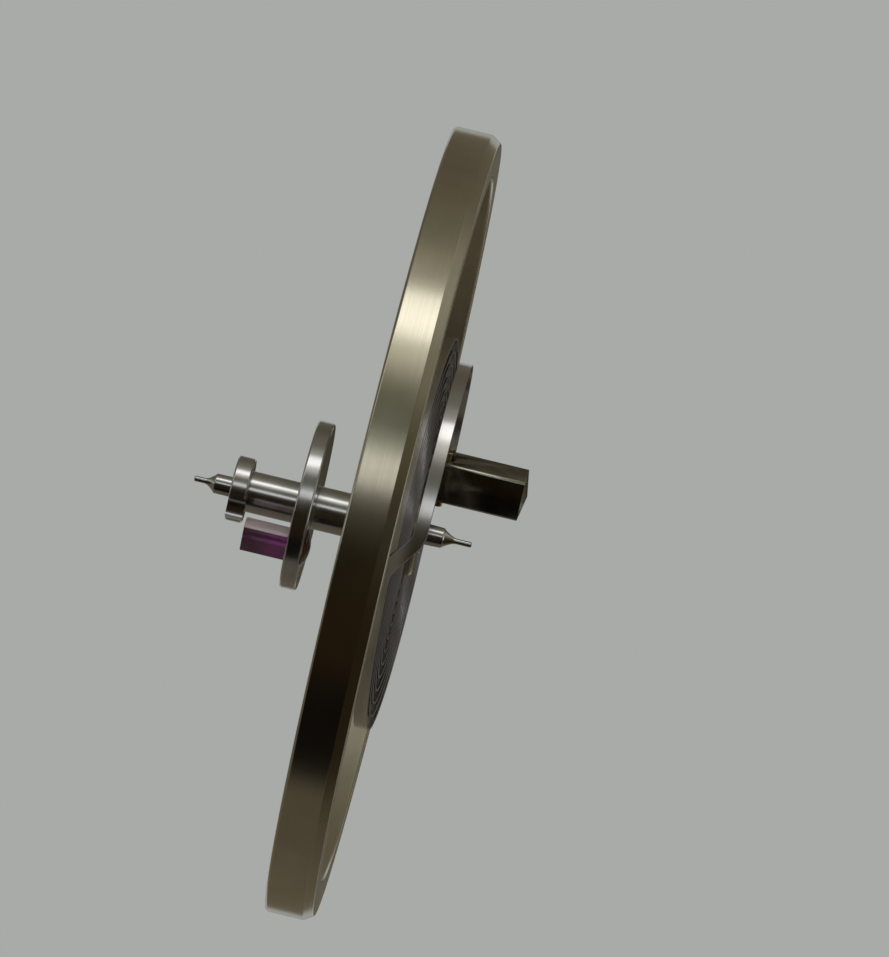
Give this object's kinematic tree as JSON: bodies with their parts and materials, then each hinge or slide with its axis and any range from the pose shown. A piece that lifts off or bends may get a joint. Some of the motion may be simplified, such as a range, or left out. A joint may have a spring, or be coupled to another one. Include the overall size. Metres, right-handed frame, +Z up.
{
  "type": "balance wheel with hairspring",
  "caption": "Watch balance complete: screwless wheel on its staff, double roller with ruby impulse jewel, and a hairspring with an overcoil and its stud.",
  "frame": {"origin": "tip of the lower pivot, on the staff's axis", "axes": "+Z up the staff from the roller side to the hairspring side, -Y from the staff towards the impulse jewel at rest"},
  "size_m": [0.01, 0.01, 0.004],
  "materials": {
    "balance_alloy": "satin",
    "polished_steel": "polished",
    "ruby": "polished",
    "shellac": "glossy",
    "collet_metal": "satin",
    "pin_brass": "satin",
    "spring_alloy": "polished",
    "dark_steel": "polished"
  },
  "bodies": {
    "stud_side": {"stud": "dark_steel", "stud_pin": "pin_brass", "hairspring": "spring_alloy"},
    "balance": {"balance_wheel": "balance_alloy", "balance_staff": "polished_steel", "impulse_roller": "polished_steel", "safety_roller": "polished_steel", "impulse_jewel": "ruby", "jewel_shellac": "shellac", "collet": "collet_metal", "collet_pin": "pin_brass"}
  },
  "joints": [
    {"name": "balance_swing", "type": "hinge", "parent": "stud_side", "child": "balance", "pos_m": [0, 0, 0.00237], "axis": [0, 0, 1], "range_deg": [-270, 270], "stiffness_Nm_per_rad": 0.00000055, "deforming": ["hairspring"]}
  ]
}
